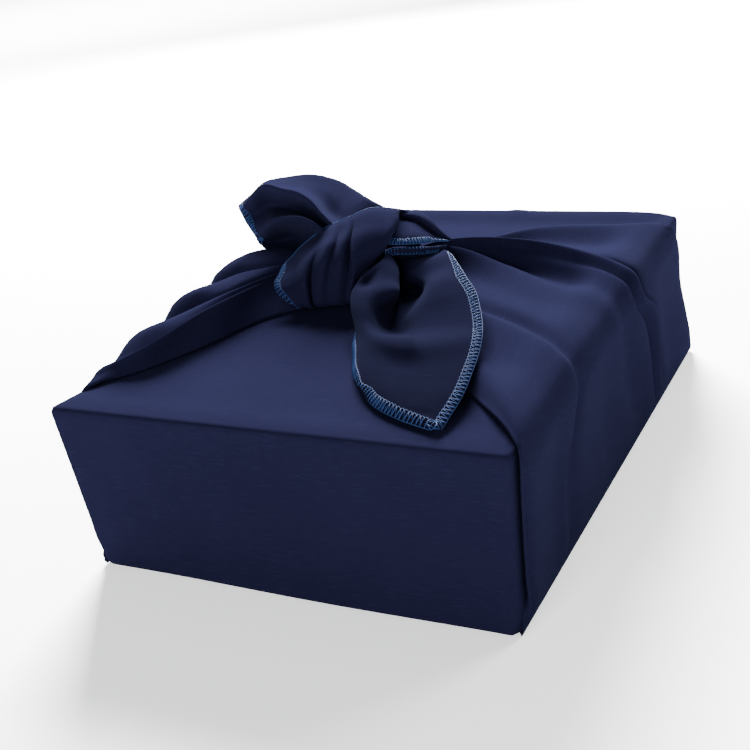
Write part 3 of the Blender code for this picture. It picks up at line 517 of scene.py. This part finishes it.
# rows from the knot to the tip; each is a line of points across the cloth, x y z
ears = {
    # painted shade: the front ear's colour is darkened, most at the tip and less near the knot
    "front": {"tone": (0.42, 0.80), "steps": 6, "across": 8, "rows": (
        ((-18, 23.5, 130.5), (-19, 19.5, 133), (-18.5, 22, 132.5), (-17.5, 24, 131), (-17.5, 27.5, 127.5),
         (-19.5, 35.5, 124.5), (-12.5, 36, 123.5), (1, 39, 124.5), (15, 35.5, 130)),
        ((-8.5, 1.5, 131.5), (-13.5, 2.5, 134.5), (-10, 2, 136.5), (-8.5, 3, 135.5), (-7.5, 6, 132),
         (-10, 17, 126), (0, 9.5, 128), (12.5, 14, 129.5), (27, 18, 134)),
        ((-9, -16, 130.5), (-14, -15, 133.5), (-7.5, -16.5, 136.5), (-2.5, -14.5, 136.5), (1.5, -10, 131.5),
         (-3.5, 3.5, 121), (5, -3, 121.5), (20.5, 0, 127), (39, 0.5, 134)),
        ((-12, -25, 128.5), (-15.5, -29, 131.5), (-11.5, -24, 129.5), (-0.5, -30, 133.5), (7.5, -24, 129.5),
         (-4.5, 5, 115.5), (8.5, 4.5, 114.5), (30, -22.5, 127.5), (53, -20.5, 132.5)),
        ((-10, -46.5, 126), (-14.5, -44, 129), (-4, -49, 131.5), (6, -48, 132), (14.5, -42.5, 127.5),
         (3.5, -15.5, 114), (14, -17.5, 112.5), (32, -36.5, 124), (65.5, -38, 130)),
        ((-4, -61, 122), (-8.5, -58.5, 125), (2.5, -65, 128), (8, -62, 126.5), (8, -50, 119),
         (10.5, -41.5, 113), (17, -40, 111.5), (30.5, -48.5, 119), (74.5, -55.5, 127)),
        ((3, -74.5, 117), (0, -72.5, 120.5), (10, -79, 123.5), (14, -76, 121.5), (16.5, -68.5, 116),
         (20.5, -63.5, 112.5), (27, -62, 112), (41, -66, 117), (82, -72.5, 124.5)),
        ((2, -78.5, 113.5), (7, -84, 118), (18.5, -93.5, 121.5), (29, -100.5, 122.5), (39.5, -106.5, 123),
         (46, -108, 123), (53.5, -107.5, 123), (61, -100.5, 122), (87.5, -89, 122.5)),
        ((12, -101.5, 110.5), (17, -104.5, 116), (27, -111, 118.5), (36, -113.5, 119), (44, -115, 119),
         (50.5, -116, 119), (57, -116, 119), (69.5, -114, 119), (91, -104.5, 120)),
        ((20, -118.5, 109.5), (23.5, -119, 114.5), (34.5, -127.5, 116.5), (43.5, -130.5, 117),
         (51, -131.5, 117), (57.5, -132.5, 117), (64, -132.5, 117), (76, -131, 117), (94, -123.5, 117.5)),
        ((34.5, -137, 110), (32.5, -136, 112.5), (42, -142.5, 114), (51.5, -147, 115), (59, -148.5, 115.5),
         (65, -148.5, 115.5), (71.5, -148.5, 115.5), (82.5, -148, 115.5), (96, -139.5, 115)),
        ((46.5, -152, 110), (48, -152.5, 110.5), (51, -153, 111.5), (58.5, -157, 113), (65.5, -158.5, 114),
         (70.5, -159, 114), (76.5, -159.5, 114), (85.5, -158.5, 114), (96.5, -153, 113)),
        ((59, -161, 110), (60.5, -161, 110.5), (63, -161, 111.5), (68.5, -162.5, 112.5),
         (73.5, -163.5, 113), (77.5, -164, 113), (81.5, -163.5, 113), (88.5, -163, 113),
         (96.5, -162.5, 112)),
        ((77.5, -170, 110), (78, -170, 110), (79, -169, 111), (82, -169, 111.5), (84, -169, 112),
         (86.5, -169.5, 112.5), (88.5, -169, 112.5), (91.5, -168.5, 112), (96.5, -168, 111)),
        ((90.5, -174.5, 110), (91, -174.5, 110), (91.5, -174.5, 110.5), (92.5, -174.5, 111),
         (93.5, -174.5, 111), (94, -174, 111), (95, -174, 111), (95.5, -174, 110.5), (96, -174.5, 110)),
    )},
    "back": {"tone": (1.0, 1.0), "steps": 7, "across": 7, "rows": (
        ((-135.5, 46, 127), (-137, 46, 130), (-137.5, 45, 134), (-141.5, 46, 139), (-146, 48, 144.5),
         (-151, 52, 149.5), (-155.5, 57, 151), (-157, 60, 152), (-158, 64, 152)),
        ((-128, 42, 124.5), (-132, 50, 128), (-124, 38, 140.5), (-131, 45, 143.5), (-139.5, 54, 148),
         (-139.5, 50, 160), (-144.5, 58, 159), (-150, 66, 157.5), (-154.5, 74, 155.5)),
        ((-118.5, 38, 124), (-126.5, 56, 127), (-107.5, 28, 150.5), (-121.5, 46, 148.5),
         (-131.5, 60, 152.5), (-123.5, 46, 170.5), (-132.5, 60, 167.5), (-141.5, 74, 164),
         (-148.5, 84, 162)),
        ((-101, 30, 126), (-116.5, 58, 128.5), (-91, 20, 155), (-105, 42, 151.5), (-116.5, 60, 151.5),
         (-105.5, 40, 169.5), (-117, 62, 165.5), (-123.5, 78, 165), (-130, 90, 165)),
        ((-87, 24, 127), (-99, 48, 129.5), (-77, 14, 156.5), (-89, 34, 152.5), (-99.5, 52, 151.5),
         (-88.5, 33, 169), (-99.5, 60, 163), (-105, 78, 163), (-110, 94, 165.5)),
        ((-79.5, 20, 127), (-85, 38, 130), (-68, 11, 154.5), (-75, 26, 151.5), (-83, 40, 151),
         (-74, 25, 165), (-85, 54, 157.5), (-88.5, 74, 159.5), (-90, 92, 162)),
        ((-74, 20, 125.5), (-73.5, 24, 131.5), (-61, 10, 150), (-66, 22, 148), (-70, 30, 149),
         (-64, 19, 158.5), (-72.5, 46, 150), (-73, 62, 154.5), (-67.5, 78, 158)),
        ((-69, 18, 125), (-66.5, 20, 131.5), (-56.5, 12, 144.5), (-57, 18, 145.5), (-59.5, 24, 146),
         (-56.5, 20, 150.5), (-61, 38, 148), (-57.5, 48, 150.5), (-46, 60, 156)),
        ((-64.5, 18, 123.5), (-61.5, 20, 130.5), (-53, 16, 140.5), (-52, 20, 142), (-52.5, 26, 143.5),
         (-50.5, 28, 146.5), (-49.5, 38, 147.5), (-45, 46, 150), (-31.5, 54, 152)),
    )},
}


def earGrid(spec):
    rows = np.array([evenSpline(row, spec["across"]) for row in spec["rows"]])
    return np.array([chordSpline(rows[:, i], (spec["steps"],) * (len(rows) - 1)) for i in range(rows.shape[1])])


print("free ends")
earGrids = {name: earGrid(spec) for name, spec in ears.items()}
earCloths = []
for name, spec in ears.items():
    cloth = ClothMesh(spec["tone"])
    cloth.grid(earGrids[name])
    earCloths.append(cloth.toObject(name + " ear cloth", wrap["thickness"]))


hems = {"width": 5.2, "pitch": 2.4, "rung": 0.38, "thread": 0.18, "edge": 0.26, "sides": 6,
        # how far each stitch strays along the rim and in depth: amount and rate
        "stray": ((0.2, 2.7), (0.12, 7.1)), "depthStray": (0.25, 3.9), "taperFrom": 0.15,
        "startGap": 0.6, "endGap": 0.3, "threadGap": 0.4, "threadWave": 0.3}


class ThreadMesh:
    def __init__(self):
        self.mesh = bmesh.new()

    def thread(self, points, radius):
        points = np.asarray(points, dtype=float)
        steps = np.gradient(points, axis=0)
        steps /= np.maximum(np.linalg.norm(steps, axis=1, keepdims=True), 1e-9)
        rings, side = [], None
        for point, step in zip(points, steps):
            if side is None:
                side = np.cross(step, (0.3, 0.2, 1.0))
            side = side - step * side.dot(step)
            side /= np.linalg.norm(side)
            up = np.cross(step, side)
            turns = np.linspace(0, 2 * math.pi, hems["sides"], endpoint=False)
            spots = [Vector(point + radius * (side * math.cos(a) + up * math.sin(a))) * mm for a in turns]
            rings.append([self.mesh.verts.new(spot) for spot in spots])
        for a, b in zip(rings, rings[1:]):
            for i in range(hems["sides"]):
                j = (i + 1) % hems["sides"]
                self.mesh.faces.new((a[i], a[j], b[j], b[i]))
        self.mesh.faces.new(rings[0][::-1])
        self.mesh.faces.new(rings[-1])

    def hem(self, grid, rim, first=0.0, last=1.0, pitch=hems["pitch"], width=hems["width"], taper=0.0):
        # grid rows run from the rim inwards; rim says which end of the grid it is
        grid = grid if rim == 0 else grid[::-1]
        rows, columns = grid.shape[:2]
        corners = (0, columns, columns + 1, 1)
        quads = [tuple(i * columns + j + corner for corner in corners)
                 for i in range(rows - 1) for j in range(columns - 1)]
        surface = BVHTree.FromPolygons([Vector(p) for p in grid.reshape(-1, 3)], quads)
        edge = grid[0]
        run = np.concatenate([[0], np.cumsum(np.linalg.norm(np.diff(edge, axis=0), axis=1))])
        along = np.gradient(edge, axis=0)
        along /= np.linalg.norm(along, axis=1, keepdims=True)
        reach = np.cumsum(np.linalg.norm(np.diff(grid, axis=0), axis=2), axis=0)
        inward = np.array([grid[1 + min(int(np.searchsorted(reach[:, j], width)), rows - 2), j] - edge[j]
                           for j in range(columns)])
        inward -= along * (inward * along).sum(axis=1, keepdims=True)
        inward /= np.linalg.norm(inward, axis=1, keepdims=True)
        lift = wrap["thickness"] / 2 + hems["thread"] * 0.7

        def spot(s, depth, face, rise=0.0):
            # the point at s along the rim and depth inwards, on that face of the cloth
            k = min(np.searchsorted(run, s, side="right") - 1, columns - 2)
            t = (s - run[k]) / (run[k + 1] - run[k])
            place = (edge[k] + inward[k] * depth) * (1 - t) + (edge[k + 1] + inward[k + 1] * depth) * t
            found, normal = surface.find_nearest(Vector(place))[:2]
            return np.array(found + normal * face * (lift + rise))

        def widthAt(s):
            return width * min(1, hems["taperFrom"] + (s - first * total) / taper) if taper else width

        total = run[-1]
        (slow, slowRate), (quick, quickRate) = hems["stray"]
        deeper, depthRate = hems["depthStray"]
        stations = np.arange(first * total + hems["startGap"], last * total - hems["endGap"] - pitch, pitch)
        for n, s in enumerate(stations):
            jitter = slow * math.sin(slowRate * n) + quick * math.sin(quickRate * n)
            depth = widthAt(s) + deeper * math.sin(depthRate * n)
            for face in (1, -1):
                self.thread([spot(s + jitter, 0.1, face, -0.25), spot(s + jitter, 0.35 * depth, face),
                             spot(s + jitter, 0.7 * depth, face), spot(s + jitter + 0.15, depth, face, -0.1)],
                            hems["rung"])
                self.thread([spot(s + jitter + 0.15, depth, face, 0.1), spot(s + 0.9 * pitch, 0.1, face, -0.1)],
                            hems["thread"])
        fine = np.arange(first * total + hems["threadGap"], last * total - hems["threadGap"], pitch / 4)
        for face in (1, -1):
            self.thread([spot(s, widthAt(s) + hems["threadWave"] * math.cos(2 * math.pi * s / pitch), face, 0.1)
                         for s in fine], hems["thread"])
        self.thread([0.5 * (spot(s, 0, 1) + spot(s, 0, -1)) for s in fine], hems["edge"])

    def toObject(self, name):
        obj = linkMesh(self.mesh, name)
        shadeSmooth(obj)
        return obj


print("hems")
stitches = ThreadMesh()
frontEar, backEar = earGrids["front"], earGrids["back"]
stitches.hem(frontEar, -1, 0.07, 1.0, pitch=3.5, taper=55)
stitches.hem(frontEar, 0, 0.44, 1.0, pitch=3.0, width=5.8)
stitches.hem(frontEar.transpose(1, 0, 2), -1, 0.0, 1.0)
stitches.hem(backEar.transpose(1, 0, 2), 0, 0.0, 0.85)
stitches.hem(knotGrids["strap"], 0, 0.33, 0.84, pitch=2.8, width=4.2)
stitches.hem(knotGrids["side"], -1, 0.0, 0.97, width=4.6)
stitches.hem(knotGrids["roll"], 0, 0.0, 0.9, width=4.6)
upper = knotGrids["strap"][:, knot["strap"]["rimStation"]]
stitches.thread(upper + np.array(knot["strap"]["rimShift"]), hems["edge"])
hemStitches = stitches.toObject("hem_stitches")

print("one cloth")
bpy.ops.object.select_all(action="DESELECT")
for obj in (wrapCloth, knotCloth, heartCloth, *earCloths):
    obj.select_set(True)
bpy.context.view_layer.objects.active = wrapCloth
bpy.ops.object.join()
wrapCloth.name = "furoshiki"
shadeSmooth(wrapCloth)


class Value:
    # a socket whose operators add Math nodes
    def __init__(self, maker, socket):
        self.maker, self.socket = maker, socket

    def math(self, operation, other, swap=False):
        pair = (other, self) if swap else (self, other)
        return self.maker.node("ShaderNodeMath", {"operation": operation}, {0: pair[0], 1: pair[1]})

    def __add__(self, other): return self.math("ADD", other)
    def __sub__(self, other): return self.math("SUBTRACT", other)
    def __mul__(self, other): return self.math("MULTIPLY", other)
    def __truediv__(self, other): return self.math("DIVIDE", other)
    def __pow__(self, other): return self.math("POWER", other)
    def __radd__(self, other): return self.math("ADD", other, True)
    def __rsub__(self, other): return self.math("SUBTRACT", other, True)
    def __rmul__(self, other): return self.math("MULTIPLY", other, True)


class Finish:
    def __init__(self, name):
        self.material = bpy.data.materials.new(name)
        self.material.use_nodes = True
        self.tree = self.material.node_tree
        self.shader = self.tree.nodes["Principled BSDF"]

    def node(self, kind, settings=None, inputs=None, output=0):
        node = self.tree.nodes.new(kind)
        for key, value in (settings or {}).items():
            if key == "ramp":
                ramp = node.color_ramp
                while len(ramp.elements) < len(value):
                    ramp.elements.new(0.5)
                for element, (place, colour) in zip(ramp.elements, value):
                    element.position, element.color = place, colour
            else:
                setattr(node, key, value)
        for key, value in (inputs or {}).items():
            self.feed(node.inputs[key], value)
        return Value(self, node.outputs[output])

    def feed(self, socket, value):
        if isinstance(value, Value):
            self.tree.links.new(value.socket, socket)
        else:
            socket.default_value = value

    def set(self, **sockets):
        for name, value in sockets.items():
            self.feed(self.shader.inputs[name.replace("_", " ")], value)


navyCloth = {"dark": (0.0030, 0.0030, 0.0092, 1), "light": (0.0048, 0.0048, 0.0140, 1),
             "threadScale": (150.0, 2600.0, 1.0), "slubScale": (85.0, 950.0, 1.0), "patchScale": 28.0,
             "slubFrom": 0.6, "slubTo": 0.78, "blend": (0.55, 0.45, 0.9), "slubHeight": 2.0,
             "roughness": 0.62, "roughSpread": 0.2, "sheen": 0.006, "sheenRoughness": 0.45,
             "sheenTint": (0.5, 0.62, 1.0, 1), "bump": 0.25, "bumpHeight": 0.0002}

navy = Finish("navy cloth")
uv = navy.node("ShaderNodeTexCoord", output=2)
place = navy.node("ShaderNodeTexCoord", output=3)
stretched = navy.node("ShaderNodeMapping", None, {"Vector": uv, "Scale": navyCloth["threadScale"]})
threads = navy.node("ShaderNodeTexNoise", None, {"Vector": stretched, "Scale": 1.0, "Detail": 2.0})
patches = navy.node("ShaderNodeTexNoise", None,
                    {"Vector": place, "Scale": navyCloth["patchScale"], "Detail": 3.0})
stretched = navy.node("ShaderNodeMapping", None, {"Vector": uv, "Scale": navyCloth["slubScale"]})
streaks = navy.node("ShaderNodeTexNoise", None, {"Vector": stretched, "Scale": 1.0, "Detail": 1.0})
slubs = navy.node("ShaderNodeMapRange", None, {0: streaks, 1: navyCloth["slubFrom"], 2: navyCloth["slubTo"]})
threadPart, patchPart, slubPart = navyCloth["blend"]
blend = threads * threadPart + patches * patchPart + slubs * slubPart
colour = navy.node("ShaderNodeMix", {"data_type": "RGBA"},
                   {0: blend, 6: navyCloth["dark"], 7: navyCloth["light"]}, output=2)
# painted shade: the cloth colour is scaled towards black by each vertex's painted shade factor, which is below
# 1 only on the front ear
tone = navy.node("ShaderNodeAttribute", {"attribute_name": "tone"}, output=2)
colour = navy.node("ShaderNodeMix", {"data_type": "RGBA"}, {0: tone, 6: (0, 0, 0, 1), 7: colour}, output=2)
grain = navy.node("ShaderNodeBump", None, {"Strength": navyCloth["bump"], "Distance": navyCloth["bumpHeight"],
                                           "Height": threads + slubs * navyCloth["slubHeight"]})
navy.set(Base_Color=colour, Normal=grain, Specular_IOR_Level=0.0,
         Roughness=navyCloth["roughness"] + (threads - 0.5) * navyCloth["roughSpread"],
         Sheen_Weight=navyCloth["sheen"], Sheen_Roughness=navyCloth["sheenRoughness"],
         Sheen_Tint=navyCloth["sheenTint"])
wrapCloth.data.materials.clear()
wrapCloth.data.materials.append(navy.material)

plainBoard = {"dark": (0.60, 0.56, 0.48, 1), "light": (0.76, 0.72, 0.64, 1), "fibreScale": 900.0,
              "roughness": 0.8, "roughSpread": 0.12}

board = Finish("plain board")
place = board.node("ShaderNodeTexCoord", output=3)
fibre = board.node("ShaderNodeTexNoise", None,
                   {"Vector": place, "Scale": plainBoard["fibreScale"], "Detail": 3.0})
colour = board.node("ShaderNodeMix", {"data_type": "RGBA"},
                    {0: fibre, 6: plainBoard["dark"], 7: plainBoard["light"]}, output=2)
board.set(Base_Color=colour, Roughness=plainBoard["roughness"] + fibre * plainBoard["roughSpread"])

# the thread glows faintly: painted light that keeps the stitches bright in the shade
blueThread = {"colour": (0.0058, 0.0145, 0.048, 1), "roughness": 0.7, "shine": 0.03,
              "glow": (0.10, 0.22, 0.60, 1), "paintedGlowStrength": 0.07}

thread = Finish("blue thread")
thread.set(Base_Color=blueThread["colour"], Roughness=blueThread["roughness"],
           Specular_IOR_Level=blueThread["shine"], Emission_Color=blueThread["glow"],
           Emission_Strength=blueThread["paintedGlowStrength"])
hemStitches.data.materials.append(thread.material)

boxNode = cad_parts["box"]
boxNode.data.materials.clear()
boxNode.data.materials.append(board.material)

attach(wrapCloth, "root")
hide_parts("cloth")
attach(hemStitches, "root")


studio = {"floor": (0.93, 0.935, 0.94, 1), "glow": 0.5, "world": (0.95, 0.97, 1.0, 1), "worldStrength": 0.4,
          "key": {"place": (-0.85, 1.7, 1.2), "size": 1.1, "power": 925},
          "fill": {"place": (0.2, -2.2, 0.6), "size": 1.5, "power": 130},
          "side": {"place": (1.7, 2.3, 0.9), "size": 1.2, "power": 200},
          "behind": {"place": (-2.6, 2.6, 2.2), "aim": (-3.6, 3.8, 0.0), "size": 2.0, "power": 1000.0},
          "aim": (0, 0, 0.06), "floorSize": 60, "floorLevel": -0.0003, "floorRoughness": 0.9}

bpy.ops.mesh.primitive_plane_add(size=studio["floorSize"], location=(0, 0, studio["floorLevel"]))
floor = bpy.context.object
floor.name = "floor"
paper = Finish("pale floor")
paper.set(Base_Color=studio["floor"], Roughness=studio["floorRoughness"],
          Emission_Color=studio["floor"], Emission_Strength=studio["glow"])
floor.data.materials.append(paper.material)

world = bpy.context.scene.world or bpy.data.worlds.new("studio")
bpy.context.scene.world = world
world.use_nodes = True
world.node_tree.nodes["Background"].inputs[0].default_value = studio["world"]
world.node_tree.nodes["Background"].inputs[1].default_value = studio["worldStrength"]
for name in ("key", "fill", "side", "behind"):
    spec = studio[name]
    light = bpy.data.lights.new(name, "AREA")
    light.energy, light.size = spec["power"], spec["size"]
    lamp = bpy.data.objects.new(name, light)
    lamp.location = spec["place"]
    aim = Vector(spec.get("aim", studio["aim"])) - lamp.location
    lamp.rotation_euler = aim.to_track_quat("-Z", "Y").to_euler()
    bpy.context.scene.collection.objects.link(lamp)

view = {"place": (0.3094, -0.6280, 0.3657), "target": (-0.027, -0.006, 0.0535), "roll": -7.81,
        "lens": 54.5, "sensor": 36}
cameraData = bpy.data.cameras.new("camera")
cameraData.lens, cameraData.sensor_width = view["lens"], view["sensor"]
camera = bpy.data.objects.new("camera", cameraData)
camera.location = view["place"]
aim = (Vector(view["target"]) - camera.location).to_track_quat("-Z", "Y")
camera.rotation_euler = (aim.to_matrix() @ Matrix.Rotation(math.radians(view["roll"]), 3, "Z")).to_euler()
bpy.context.scene.collection.objects.link(camera)
bpy.context.scene.camera = camera

print("done")
